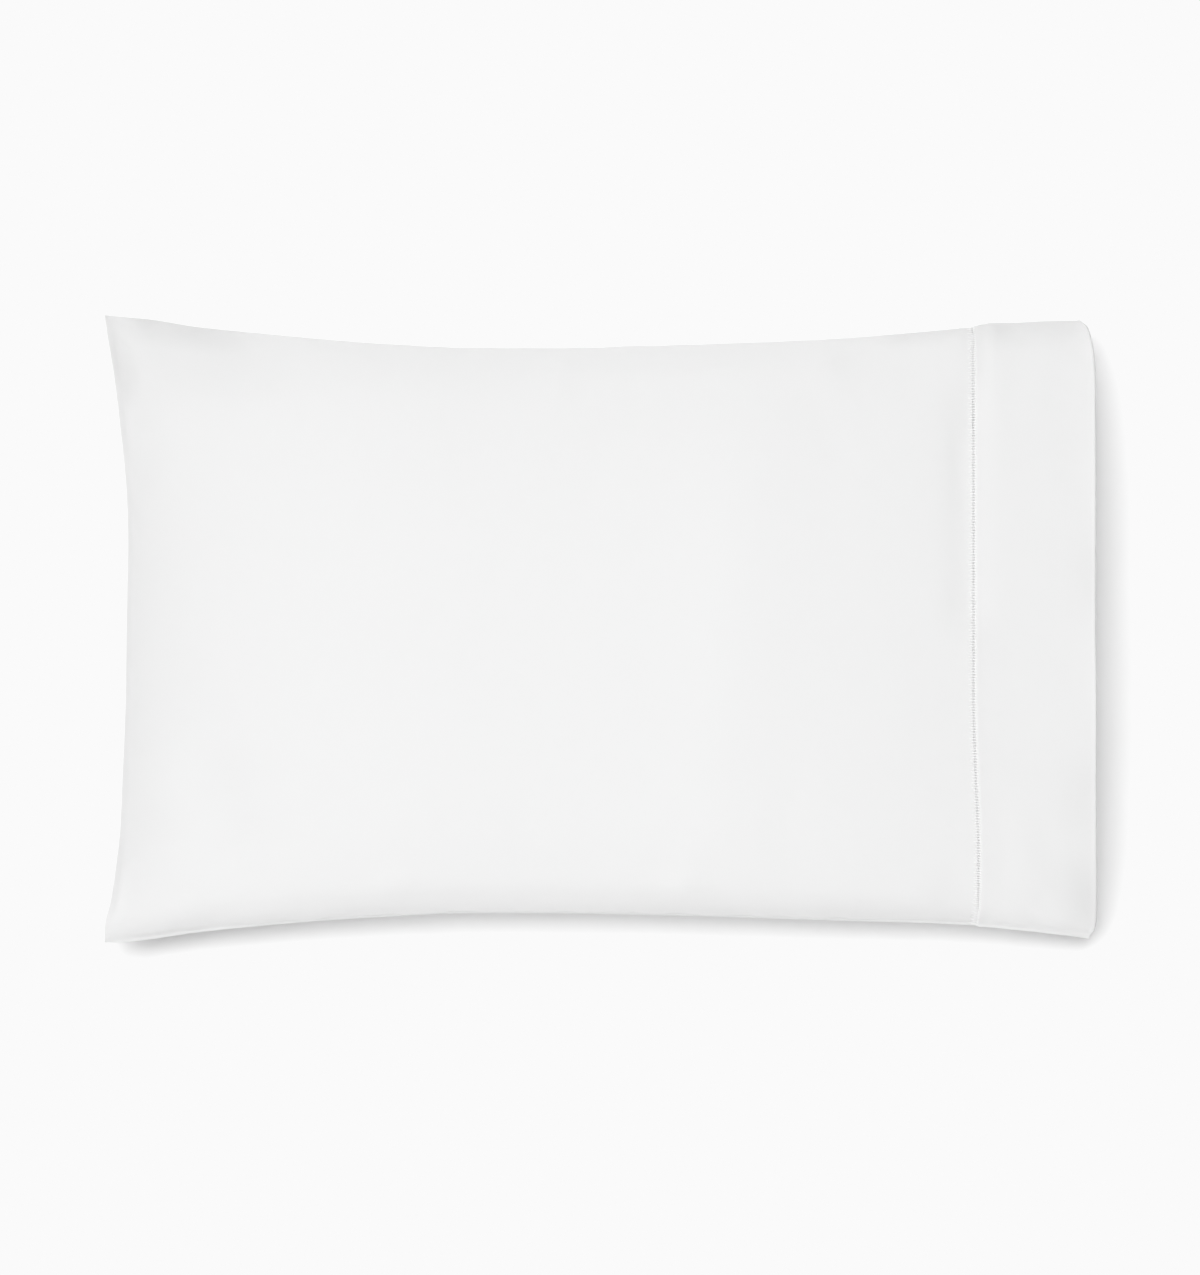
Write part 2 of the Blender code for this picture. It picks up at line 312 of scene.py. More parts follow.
def soft_lines(lines, x, y, run_out=1.0):
    """How high each of these soft lines stands at these places in plan.

    A line fades past its ends run_out times as slowly as it does beside itself.
    """
    for from_x, from_y, to_x, to_y, half_width, height in lines:
        length = math.hypot(to_x - from_x, to_y - from_y)
        run = (to_x - from_x) / length, (to_y - from_y) / length
        ahead = (x - from_x) * run[0] + (y - from_y) * run[1]
        beside = (y - from_y) * run[0] - (x - from_x) * run[1]
        past = (ahead - np.clip(ahead, 0, length)) / run_out
        yield height * np.exp(-(beside**2 + past**2) / half_width**2)


def fold_height(folds, x, y):
    """How much these folds raise the cloth at these places in plan."""
    return sum(soft_lines(folds, x, y))


def painted_shade_depth(x, y):
    """How deep the painted shade is at these places in plan, from 0 to about 1."""
    return np.max(list(soft_lines(PAINTED_SHADE_LINES, x, y, PAINTED_SHADE_RUN_OUT)), axis=0)


def soft_floor(height):
    """These heights kept over the floor, with a soft turn where the cloth comes down to it."""
    turn = (height + FLATTENING) ** 2 / (4 * FLATTENING)
    return np.where(height > FLATTENING, height, np.where(height < -FLATTENING, 0.0, turn))


def skin(along, across, upper, inset=0.0):
    """Points on the case's upper or lower skin, or that far inside it."""
    along, across = np.broadcast_arrays(along, across)
    points = middle_surface(along, across)
    points[..., 2] += fold_height(DROOPS, points[..., 0], points[..., 1])
    thick = fullness(along, across)
    if upper:
        folded = fold_height(FOLDS, points[..., 0], points[..., 1])
        points[..., 2] += np.maximum(CROWN * thick - inset, 0)
        points[..., 2] += folded * (1 - np.abs(across) ** EDGE_FADE)
        return points
    drop = np.maximum(BELLY * thick - inset, 0)
    points[..., 2] = soft_floor(points[..., 2] - drop)
    points[..., 0] -= UNDER_HEM_SETBACK * along**SETBACK_POWER * (1 - across**2)
    return points


def as_seen(points):
    """The points set off for their height under the camera, so that outlines stay where seen."""
    height = np.maximum(points[..., 2:], LOWEST_CREASE)
    nearer = (CAMERA_HEIGHT - height) / (CAMERA_HEIGHT - CREASE_HEIGHT)
    plan = CAMERA_OVER + (points[..., :2] - CAMERA_OVER) * nearer
    return np.concatenate([plan, points[..., 2:]], axis=-1)


# ---------------------------------------------------------------- the grid of the cloth
CLOTH_STEP = 4.4  # the spacing of the grid where nothing finer is on it
CURVE_SAMPLES = 4001
MEASURED_AT = 0.45  # along, where the girth is measured
START = 1e-7  # just off the closed end, where the upper and lower cloth have one line
CLOSEST = 0.45  # how near an even place may come to an extra one, in steps
CLOSEST_TO_GROOVE = 0.4

# where grid lines lie, from a seam, from the hemstitch and from the fold at the open end
SEAM_STEPS = (0.5, 1.0, 1.6, 2.3, 3.1, 4.0, 5.2, 7.0, 9.6)
BESIDE_GROOVE = (0.35, 0.65, 0.9, 1.15, 1.6, 2.2, 2.9, 3.8, 5.0, 6.5)
GROOVE_OFFSETS = (*(-offset for offset in reversed(BESIDE_GROOVE)), 0.0, *BESIDE_GROOVE)
FOLD_OFFSETS = (-8.5, -6.6, -5.2, -4.2, -3.4, -2.8, -2.2, -1.6, -1.0, -0.5, 0.0)


def evenly(curve, share, step, extra):
    """Shares at which a curve is cut into even steps, with more of them where extra asks.

    An extra place counts from the curve's start, or back from its end if it isn't above nought.
    """
    points = curve(share)
    length = np.concatenate([[0], np.cumsum(np.linalg.norm(np.diff(points, axis=0), axis=1))])
    count = max(2, round(length[-1] / step))
    at = np.linspace(0, length[-1], count + 1)
    wanted = np.array([length[-1] + place if place <= 0 else place for place in extra])
    near = np.abs(at[:, None] - wanted[None]).min(1)
    at = np.sort(np.concatenate([at[near > CLOSEST * step], wanted]))
    at = np.unique(np.round(at, 4))
    return np.interp(at, length, share)


def lines_across():
    """The grid's places across, from the folded side to the seamed side."""
    crowded = np.sin(np.linspace(0, 1, CURVE_SAMPLES) * np.pi / 2)
    half = evenly(
        lambda across: skin(np.full(len(across), MEASURED_AT), across, True), crowded, CLOTH_STEP,
        extra=[0.0, *(-step for step in SEAM_STEPS)],
    )
    return np.concatenate([half[::-1], -half[1:]])


def lines_along():
    """The grid's places along, from beside the closed end's seam to the fold at the open end."""
    crowded = np.linspace(0, 1, CURVE_SAMPLES) ** 2
    body = evenly(
        lambda share: skin(START + share * HEM_ALONG, np.zeros(len(share)), True), crowded,
        CLOTH_STEP, extra=SEAM_STEPS,
    ) * HEM_ALONG
    groove = [HEM_ALONG + offset / LENGTH for offset in GROOVE_OFFSETS]
    fold = [1 - HEM_WALL / 2 / LENGTH + offset / LENGTH for offset in FOLD_OFFSETS]
    hem = np.arange(groove[-1] + CLOTH_STEP / LENGTH, fold[0], CLOTH_STEP / LENGTH)
    body = body[(body > 0) & (body < groove[0] - CLOSEST_TO_GROOVE * CLOTH_STEP / LENGTH)]
    return np.concatenate([body, groove, hem, fold])


HEM_ALONG = 1 - HEM_DEPTH / LENGTH
ACROSS = lines_across()
ALONG = lines_along()
ALONG_GRID, ACROSS_GRID = np.meshgrid(ALONG, ACROSS, indexing="ij")


def unit(vectors):
    return vectors / np.maximum(np.linalg.norm(vectors, axis=-1, keepdims=True), 1e-12)


def smoothstep(low, high, value):
    share = np.clip((value - low) / (high - low), 0, 1)
    return share * share * (3 - 2 * share)


def bell(away, width):
    """A smooth hump, 1 in its middle and about a third this far away from it."""
    return np.exp(-((away / width) ** 2))


def normals_of(points, upward):
    """Unit normals of a grid of points that runs along, then from the folded side across."""
    normal = unit(np.cross(np.gradient(points, axis=1), np.gradient(points, axis=0)))
    return normal if upward else -normal


def lengths_from_start(points, axis):
    """How far each point of the grid lies along its own grid line, in millimetres."""
    steps = np.linalg.norm(np.diff(points, axis=axis), axis=-1)
    start = np.zeros_like(np.take(steps, [0], axis=axis))
    return np.concatenate([start, np.cumsum(steps, axis=axis)], axis=axis)


# The grid lines' places in the flat cloth, as shares of its length and width
FLAT_ALONG = lengths_from_start(skin(ALONG, np.zeros(len(ALONG)), True), 0)
CLOTH_LENGTH = FLAT_ALONG[-1] * MM
FLAT_ALONG /= FLAT_ALONG[-1]
FLAT_ACROSS = lengths_from_start(skin(np.full(len(ACROSS), MEASURED_AT), ACROSS, True), 0)
CLOTH_WIDTH = FLAT_ACROSS[-1] * MM
FLAT_ACROSS /= FLAT_ACROSS[-1]


# ---------------------------------------------------------------- what stands on the cloth
def hem_relief(along):
    """How far the hem's second ply, its lip and its folded edge stand over the plain cloth."""
    from_line = (along - HEM_ALONG) * LENGTH
    from_fold = (1 - along) * LENGTH - HEM_WALL / 2
    ply = HEM_PLY * smoothstep(0, HEM_PLY_RISE, from_line)
    lip = HEM_LIP * bell(from_line - HEM_LIP_AT, HEM_LIP_WIDTH)
    bead = FOLD_BEAD * bell(from_fold - FOLD_BEAD_AT, FOLD_BEAD_WIDTH)
    return ply + lip + bead


def hem_groove(along, from_side):
    """The row of openings, as a groove that runs out before it comes to the sides."""
    from_line = np.abs(along - HEM_ALONG) * LENGTH
    outside = smoothstep(GROOVE_HALF - GROOVE_WALL, GROOVE_HALF + GROOVE_WALL, from_line)
    return -GROOVE_DEPTH * (1 - outside) * smoothstep(*GROOVE_ENDS, from_side)


def ripple(place, wavelengths, rng):
    """An uneven wave along a line, between about -1 and 1."""
    total = np.zeros(np.shape(place))
    for wavelength in wavelengths:
        total += np.sin(2 * np.pi * (place / wavelength + rng.random()))
    return total / len(wavelengths)


def seam_relief(from_seam, along_seam, rng):
    """The seam's standing edge, the dip beside it and the puckers that its stitches draw in."""
    edge = SEAM_RIDGE * bell(from_seam, SEAM_RIDGE_WIDTH)
    dip = -SEAM_DIP * bell(from_seam - SEAM_DIP_AT, SEAM_DIP_WIDTH)
    drawn = ripple(along_seam, PUCKER_WAVES, rng)
    fade = np.exp(-from_seam / PUCKER_REACH) * (1 - np.exp(-from_seam / PUCKER_RISE))
    return edge + dip * (1 + SEAM_DIP_SPREAD * drawn) + PUCKER * fade * drawn


# ---------------------------------------------------------------- simulated wrinkles
COARSE_ALONG, COARSE_ACROSS = 76, 46
SETTLING_FRAMES = 20
LOOSENESS = 0.03  # how much larger than its own outline the cloth was cut
PRESSURE = 4.0
WRINKLE_CAP = 4.5
WRINKLE_BLUR = 3.0  # cells of the coarse copy, over which swelling is told from wrinkles

# what share of the simulated wrinkles shows
WRINKLES_ABOVE = 0.12
WRINKLES_AT_EDGE = 0.4  # this much more beside the seams
EDGE_REACH = 30.0
WRINKLES_BELOW = 0.9
PLAIN_RIM = (0, 14)  # from the edge: where there are none, and where they have their share
PLAIN_RIM_BELOW = (4, 45)
PLAIN_FLOOR = (2, 30)  # the same for the height over the floor, where the cloth rests


def coarse_case():
    """A coarse copy of the case as one mesh: its points, its faces and the two sheets' indices."""
    along = np.interp(np.linspace(0, 1, COARSE_ALONG), FLAT_ALONG, ALONG)
    along[0] = 0
    across = np.interp(np.linspace(0, 1, COARSE_ACROSS), FLAT_ACROSS, ACROSS)
    u, v = np.meshgrid(along, across, indexing="ij")
    top, low = skin(u, v, True), skin(u, v, False)
    top_index = np.arange(u.size).reshape(u.shape)
    low_index = top_index + top_index.size
    for seam in (np.s_[0], np.s_[:, 0], np.s_[:, -1]):
        low_index[seam] = top_index[seam]
    points = np.concatenate([top.reshape(-1, 3), low.reshape(-1, 3)])
    faces = []
    for index, turn in ((top_index, 1), (low_index, -1)):
        corners = (index[:-1, :-1], index[1:, :-1], index[1:, 1:], index[:-1, 1:])
        quads = np.stack(corners, axis=-1).reshape(-1, 4)
        faces += [tuple(int(i) for i in quad[::-turn]) for quad in quads]
    return points, faces, top_index, low_index


def settle(points, faces, pinned):
    """The points after the loose cloth has swelled under pressure, held along its seams."""
    mesh = bpy.data.meshes.new("settling")
    mesh.from_pydata([tuple(p) for p in points * MM], [], faces)
    cloth = bpy.data.objects.new("settling", mesh)
    bpy.context.scene.collection.objects.link(cloth)
    held = cloth.vertex_groups.new(name="held")
    held.add([int(i) for i in pinned], 1.0, "REPLACE")
    settings = cloth.modifiers.new("cloth", "CLOTH").settings
    settings.quality = 6
    settings.mass = 0.2
    settings.tension_stiffness = settings.compression_stiffness = 30
    settings.shear_stiffness = 12
    settings.bending_stiffness = 0.4
    settings.vertex_group_mass = "held"
    settings.shrink_min = -LOOSENESS
    settings.use_pressure = True
    settings.uniform_pressure_force = PRESSURE
    settings.effector_weights.gravity = 0
    scene = bpy.context.scene
    for frame_number in range(1, SETTLING_FRAMES + 1):
        scene.frame_set(frame_number)
    settled = cloth.evaluated_get(bpy.context.evaluated_depsgraph_get()).to_mesh()
    moved = np.empty(len(points) * 3, np.float32)
    settled.vertices.foreach_get("co", moved)
    scene.frame_set(1)
    bpy.data.objects.remove(cloth)
    bpy.data.meshes.remove(mesh)
    return moved.reshape(-1, 3).astype(float) / MM


def blurred(field, reach):
    """The field with each value spread over this many cells each way."""
    offsets = np.arange(-int(3 * reach), int(3 * reach) + 1)
    weights = np.exp(-0.5 * (offsets / reach) ** 2)
    weights /= weights.sum()
    for axis in (0, 1):
        pad = [(len(offsets) // 2,) * 2 if axis == i else (0, 0) for i in (0, 1)]
        padded = np.pad(field, pad, mode="reflect")
        field = np.apply_along_axis(lambda row: np.convolve(row, weights, "valid"), axis, padded)
    return field


def resampled(field, rows, columns):
    """The coarse field at these places, given in its own rows and columns, on a smooth curve."""
    for axis, at in ((0, rows), (1, columns)):
        field = np.moveaxis(field, axis, 0)
        cell = np.clip(at.astype(int), 0, len(field) - 2)
        share = (at - cell)[:, None]
        before = field[np.maximum(cell - 1, 0)]
        after = field[np.minimum(cell + 2, len(field) - 1)]
        left, right = field[cell], field[cell + 1]
        field = left + 0.5 * share * (
            right - before
            + share * (2 * before - 5 * left + 4 * right - after
                       + share * (3 * (left - right) + after - before))
        )
        field = np.moveaxis(field, 0, axis)
    return field


def simulated_wrinkles():
    """The wrinkles of the settled cloth, without its swelling, on the upper and lower grid."""
    points, faces, top_index, low_index = coarse_case()
    sides = [top_index[:, 0], top_index[:, -1], top_index[0], top_index[-1], low_index[-1]]
    moved = settle(points, faces, np.unique(np.concatenate(sides)))
    rows, columns = FLAT_ALONG * (COARSE_ALONG - 1), FLAT_ACROSS * (COARSE_ACROSS - 1)
    fields = []
    for index, upward in ((top_index, True), (low_index, False)):
        normal = normals_of(points[index], upward)
        outward = ((moved[index] - points[index]) * normal).sum(-1)
        wrinkles = np.clip(outward - blurred(outward, WRINKLE_BLUR), -WRINKLE_CAP, WRINKLE_CAP)
        fields.append(resampled(wrinkles, rows, columns))
    return fields


# ---------------------------------------------------------------- the two sheets
POCKET_STEPS = (2.2, 3.4, 5.0, *np.arange(9.0, POCKET_DEPTH, 6.0))  # rings down the hem's inside
NOSE_RINGS = 12  # rings on the pillow's rounded end


def hem_shift(points):
    """How far along the hem's line lies from where an even spacing would put it."""
    here = skin(np.full(ACROSS_GRID.shape, HEM_ALONG), ACROSS_GRID, True)[..., 0]
    line = smooth_through(HEM_LINE, 1, points[..., 1])
    near = bell(ALONG_GRID - HEM_ALONG, HEM_LINE_REACH / LENGTH)
    near *= 1 - smoothstep(1 - HEM_LINE_FADE / LENGTH, 1, ALONG_GRID)
    return (line - here) * near


def plain_sheets():
    """The upper and lower sheet with their folds but no seams or hem, and their outward normals."""
    sheets = []
    for upper in (True, False):
        points = skin(ALONG_GRID, ACROSS_GRID, upper)
        points[..., 0] += hem_shift(points)
        sheets.append(points)
    outward = [normals_of(sheet, upper) for sheet, upper in zip(sheets, (True, False), strict=True)]
    for column in (0, -1):
        shared = outward[0][:, column] + outward[1][:, column]
        shared[:, 2] = 0
        for normal in outward:
            normal[:, column] = unit(shared)
    return sheets, outward


def wrinkle_share(upper, from_edge, height):
    """What share of the simulated wrinkles shows, this far from the edge and over the floor."""
    if upper:
        share = WRINKLES_ABOVE + WRINKLES_AT_EDGE * np.exp(-from_edge / EDGE_REACH)
        return share * smoothstep(*PLAIN_RIM, from_edge)
    off_floor = smoothstep(*PLAIN_FLOOR, height)
    return WRINKLES_BELOW * off_floor * smoothstep(*PLAIN_RIM_BELOW, from_edge)


def finished_sheets():
    """Both sheets as they show, both as the threads find them, with no groove, and the normals."""
    rng = np.random.default_rng(7)
    sheets, outward = plain_sheets()
    wrinkles = simulated_wrinkles()
    showing, bearing = [], []
    for sheet, normal, wrinkle, upper in zip(sheets, outward, wrinkles, (True, False), strict=True):
        along_cloth, across_cloth = lengths_from_start(sheet, 0), lengths_from_start(sheet, 1)
        from_seam = across_cloth[:, -1:] - across_cloth
        from_side = np.minimum(from_seam, across_cloth)
        side_seam = seam_relief(from_seam, along_cloth, rng) * (1 - bell(along_cloth, CORNER))
        end_seam = seam_relief(along_cloth, across_cloth, rng) * (1 - bell(from_side, CORNER))
        share = wrinkle_share(upper, np.minimum(from_side, along_cloth), sheet[..., 2])
        lift = hem_relief(ALONG_GRID) + side_seam + END_SEAM * end_seam + wrinkle * share
        for found, groove in ((bearing, 0), (showing, hem_groove(ALONG_GRID, from_side))):
            points = sheet + normal * (lift + groove)[..., None]
            points[..., 2] = np.maximum(points[..., 2], 0)
            found.append(points)
    for pair in (showing, bearing):
        for column in (0, -1):
            pair[0][:, column] = pair[1][:, column] = (pair[0][:, column] + pair[1][:, column]) / 2
    return showing, bearing, outward


def inner_reach(along, across, inset):
    """The places across, drawn in from the creases until the case is this inset thick there."""
    share = (inset / (BELLY * fullness_along(along))) ** (1 / edge_sharpness(along))
    return across * (1 - share) ** (1 / across_roundness(across))


def ring(upper, lower):
    """One closed ring of points, along the upper line and back along the lower one."""
    return np.concatenate([upper, lower[::-1][1:-1]])


def inner_lines(along, inset):
    """The upper and lower line at this place along, this far inside the cloth's outer face."""
    reach = inner_reach(along, ACROSS, inset)
    return [skin(along, reach, upper, inset) for upper in (True, False)]


def pocket():
    """Rings on the inside of the hem and on the pillow's end, and the row they close on."""
    rings = [ring(*inner_lines(1.0, HEM_WALL / 2))]
    for depth in (HEM_WALL / 2, *POCKET_STEPS, POCKET_DEPTH):
        rings.append(ring(*inner_lines(1 - depth / LENGTH, HEM_WALL)))
    nose = MOUTH_DEPTH + (POCKET_DEPTH - MOUTH_DEPTH) * np.abs(ACROSS) ** NOSE_ROUNDNESS
    for turn in np.linspace(0, math.pi / 2, NOSE_RINGS + 2)[1:]:
        along = 1 - (POCKET_DEPTH + (nose - POCKET_DEPTH) * math.sin(turn)) / LENGTH
        upper, lower = inner_lines(along, HEM_WALL)
        middle = (upper + lower) / 2
        left = math.cos(turn)
        rings.append(ring(middle + (upper - middle) * left, middle + (lower - middle) * left))
    return rings[:-1], middle


# ---------------------------------------------------------------- meshes
TURNED_IN_STEP = 0.008  # how far the weave runs on from ring to ring inside, as a share along
LAST_ROW_STEP = 10.0 * MM  # and from the last ring to the row that closes the pillow's end


def new_piece(name, points, faces, material):
    mesh = bpy.data.meshes.new(name)
    mesh.from_pydata([tuple(p) for p in points], [], faces)
    mesh.materials.append(material)
    mesh.shade_smooth()
    mesh.update()
    piece = bpy.data.objects.new(name, mesh)
    bpy.context.scene.collection.objects.link(piece)
    return piece


def case_faces(count, rings):
    """Quads of a body of closed rings that starts and ends on an open row."""
    size = 2 * (count - 1)
    faces = []
    first = count  # the opening row comes first
    for step in range(rings - 1):
        low = first + step * size
        for i in range(size):
            j = (i + 1) % size
            faces.append((low + i, low + j, low + size + j, low + size + i))

    def cap(ring_start, row_start, flip):
        for i in range(count - 1):
            over = (ring_start + i, ring_start + i + 1)
            under = (ring_start + (size - i) % size, ring_start + (size - i - 1) % size)
            for a, b in (over, under):
                quad = [a, b, row_start + i + 1, row_start + i]
                quad = list(dict.fromkeys(quad))
                if (a, b) == under:
                    quad = quad[::-1]
                faces.append(tuple(quad[::-1] if flip else quad))

    cap(first, 0, True)
    last = first + (rings - 1) * size
    cap(last, first + rings * size, False)
    return faces


def build_case(sheets, material):
    """The case as one closed body: the closed end's seam, both sheets and the hem's inside."""
    seam = skin(0.0, ACROSS, True)
    from_corner = np.abs(seam[[0, -1], 1][:, None] - seam[None, :, 1]).min(0)
    seam[:, 0] -= END_SEAM * SEAM_RIDGE * (1 - bell(from_corner, CORNER))
    rings = [ring(sheets[0][i], sheets[1][i]) for i in range(len(ALONG))]
    inside, row = pocket()
    rings += inside
    points = np.concatenate([seam, *rings, row])
    # painted shade: how far the cotton is greyed along the rims and in the corners, where shade
    # falls
    painted_shade = painted_shade_depth(points[:, 0], points[:, 1])
    faces = case_faces(len(ACROSS), len(rings))
    case = new_piece("case", as_seen(points) * MM, faces, material)
    add_weave(case, len(rings))
    attribute = case.data.attributes.new("painted_shade", "FLOAT", "POINT")
    attribute.data.foreach_set("value", painted_shade.astype(np.float32))
    return case


def add_weave(case, rings):
    """Each point's place in the flat cloth, along and across, for the weave to follow."""
    around = np.concatenate([FLAT_ACROSS, FLAT_ACROSS[::-1][1:-1]]) * CLOTH_WIDTH
    turned_in = 1 + np.arange(1, rings - len(ALONG) + 1) * TURNED_IN_STEP
    along = np.concatenate([FLAT_ALONG, turned_in]) * CLOTH_LENGTH
    rows = [np.stack([np.full(len(ACROSS), edge), FLAT_ACROSS * CLOTH_WIDTH], axis=-1)
            for edge in (0.0, along.max() + LAST_ROW_STEP)]
    along, across = np.meshgrid(along, around, indexing="ij")
    middle = np.stack([along, across], axis=-1).reshape(-1, 2)
    place = np.concatenate([rows[0], middle, rows[1]])
    place = np.concatenate([place, np.zeros((len(place), 1))], axis=1)
    attribute = case.data.attributes.new("weave", "FLOAT_VECTOR", "POINT")
    attribute.data.foreach_set("vector", place.astype(np.float32).ravel())


# One bar of thread, which lies along the case over the row of openings:
# place along from the hemstitch's line, half width, half thickness, height over the cloth
STITCH = (
    (-4.7, 0.10, 0.06, -0.20),
    (-4.3, 0.34, 0.20, 0.02),
    (-3.2, 0.44, 0.28, 0.10),
    (-2.0, 0.54, 0.34, 0.10),
    (-0.9, 0.62, 0.34, 0.00),
    (0.0, 0.58, 0.36, -0.15),
    (0.9, 0.62, 0.34, 0.20),
    (1.7, 0.56, 0.34, 0.55),
    (2.3, 0.38, 0.24, 0.62),
    (2.6, 0.10, 0.06, 0.45),
)
STITCH_PITCH = 2.31
STITCH_SIDES = 6
SHORT_STITCH = 0.62  # every second stitch reaches only this share as far into the body
PITCH_SPREAD = 0.1  # how far a stitch may stray along the row,
SHIFT_SPREAD = 0.15  # and along the case
STITCH_WIDTHS = (0.9, 1.1)  # the thinnest and the broadest stitch, as shares of the usual one
BESIDE_STITCH = 2e-3  # how far across, as a share, the cloth beside a stitch is looked at


def on_sheet(values, along, across):
    """The grid's value at this place along and across, by straight steps between its lines."""
    row = np.interp(along, ALONG, np.arange(len(ALONG)))
    column = np.interp(-across, -ACROSS, np.arange(len(ACROSS)))
    i, j = min(int(row), len(ALONG) - 2), min(int(column), len(ACROSS) - 2)
    s, t = row - i, column - j
    return (
        values[i, j] * (1 - s) * (1 - t) + values[i + 1, j] * s * (1 - t)
        + values[i, j + 1] * (1 - s) * t + values[i + 1, j + 1] * s * t
    )


def build_hemstitch(sheets, outward, material):
    """The bars of thread that bridge the row of openings, above and below."""
    rng = np.random.default_rng(11)
    points, faces = [], []
    row = np.argmin(np.abs(ALONG - HEM_ALONG))
    turn = np.arange(STITCH_SIDES) * 2 * np.pi / STITCH_SIDES
    for sheet, normals in zip(sheets, outward, strict=True):
        line = lengths_from_start(sheet[row], 0)
        places = np.arange(STITCH_PITCH, line[-1] - STITCH_PITCH / 2, STITCH_PITCH)
        places = places + rng.uniform(-PITCH_SPREAD, PITCH_SPREAD, len(places))
        for number, across in enumerate(np.interp(places, line, ACROSS)):
            broad = rng.uniform(*STITCH_WIDTHS)
            shift = rng.uniform(-SHIFT_SPREAD, SHIFT_SPREAD)
            start = len(points)
            for place, half_width, half_thickness, height in STITCH:
                if place < 0 and number % 2:
                    place *= SHORT_STITCH
                along = HEM_ALONG + (place + shift) / LENGTH
                normal = unit(on_sheet(normals, along, across))
                towards_seam, towards_fold = (
                    on_sheet(sheet, along, across + step) for step in (-BESIDE_STITCH, BESIDE_STITCH)
                )
                beside = towards_seam - towards_fold
                beside = unit(beside - normal * (beside @ normal))
                middle = on_sheet(sheet, along, across) + normal * height
                if place > 0:
                    middle -= normal * HEM_PLY * smoothstep(0, HEM_PLY_RISE, place + shift)
                for angle in turn:
                    points.append(
                        middle + beside * half_width * broad * math.cos(angle)
                        + normal * half_thickness * math.sin(angle)
                    )
            for step in range(len(STITCH) - 1):
                low = start + step * STITCH_SIDES
                for i in range(STITCH_SIDES):
                    j = (i + 1) % STITCH_SIDES
                    high = low + STITCH_SIDES
                    faces.append((low + i, low + j, high + j, high + i))
            faces.append(tuple(range(start, start + STITCH_SIDES))[::-1])
            faces.append(tuple(range(len(points) - STITCH_SIDES, len(points))))
    points = as_seen(np.array(points))
    points[:, 2] = np.maximum(points[:, 2], 0)
    return new_piece("hemstitch", points * MM, faces, material)


# ---------------------------------------------------------------- finishes
THREAD_PITCH = 0.38 * MM
WEAVE_HEIGHT = 0.012 * MM
SLUB_HEIGHT = 0.02 * MM
CRUMPLE_HEIGHT = 0.25 * MM
SLUB_SHARE = 0.5  # what the slubs and the weave add to the cotton's unevenness
WEAVE_SHARE = 0.1
COTTON_GREYS = (0.872, 0.880)
PAINTED_SHADE_GREY = 0.91  # how bright the cloth is under the deepest painted shade, beside the rest
COTTON_ROUGHNESS = (0.80, 0.86)
STRAND_HEIGHT = 0.08 * MM
THREAD_GREYS = (0.93, 0.97)
THREAD_ROUGHNESS = (0.5, 0.7)
FLOOR_GREYS = (0.928, 0.931)
FLOOR_ROUGHNESS = (0.95, 1.0)
FLOOR_GRAIN = 0.01 * MM


def wired(tree, kind, inputs, **settings):
    """A new node, with its inputs joined to sockets or set to values."""
    node = tree.nodes.new(kind)
    for name, value in settings.items():
        setattr(node, name, value)
    for key, value in inputs.items():
        if isinstance(value, bpy.types.NodeSocket):
            tree.links.new(value, node.inputs[key])
        else:
            node.inputs[key].default_value = value
    return node.outputs[0]


def maths(tree, operation, first, second=0.0):
    return wired(tree, "ShaderNodeMath", {0: first, 1: second}, operation=operation)


def mesh_attribute(tree, name, socket):
    """What the mesh says of itself under this name."""
    node = tree.nodes.new("ShaderNodeAttribute")
    node.attribute_name = name
    return node.outputs[socket]


def object_place(tree):
    return tree.nodes.new("ShaderNodeTexCoord").outputs["Object"]


def stretched_noise(tree, place, scale, detail=2.0, roughness=0.5):
    """Noise from 0 to 1 with its own scale along each axis, in cells to a metre."""
    moved = wired(tree, "ShaderNodeMapping", {"Vector": place, "Scale": scale})
    values = {"Vector": moved, "Scale": 1.0, "Detail": detail, "Roughness": roughness}
    return wired(tree, "ShaderNodeTexNoise", values)


def ranged(tree, value, low, high):
    return wired(tree, "ShaderNodeMapRange", {"Value": value, "To Min": low, "To Max": high})


def plain_weave(tree, place):
    """Over and under, between -1 and 1, one thread to every pitch each way."""
    apart = tree.nodes.new("ShaderNodeSeparateXYZ")
    tree.links.new(place, apart.inputs[0])
    waves = []
    for axis in ("X", "Y"):
        threads = maths(tree, "MULTIPLY", apart.outputs[axis], math.pi / THREAD_PITCH)
        waves.append(maths(tree, "SINE", threads))
    return maths(tree, "MULTIPLY", *waves)


def new_material(name, specular, sheen):
    material = bpy.data.materials.new(name)
    material.use_nodes = True
    shader = material.node_tree.nodes["Principled BSDF"]
    shader.inputs["Specular IOR Level"].default_value = specular
    shader.inputs["Sheen Weight"].default_value = sheen
    return material, material.node_tree, shader


def finish_shader(tree, shader, grey, roughness, height):
    bumped = wired(tree, "ShaderNodeBump", {"Height": height, "Distance": 1.0, "Strength": 1.0})
    tree.links.new(grey, shader.inputs["Base Color"])
    tree.links.new(roughness, shader.inputs["Roughness"])
    tree.links.new(bumped, shader.inputs["Normal"])


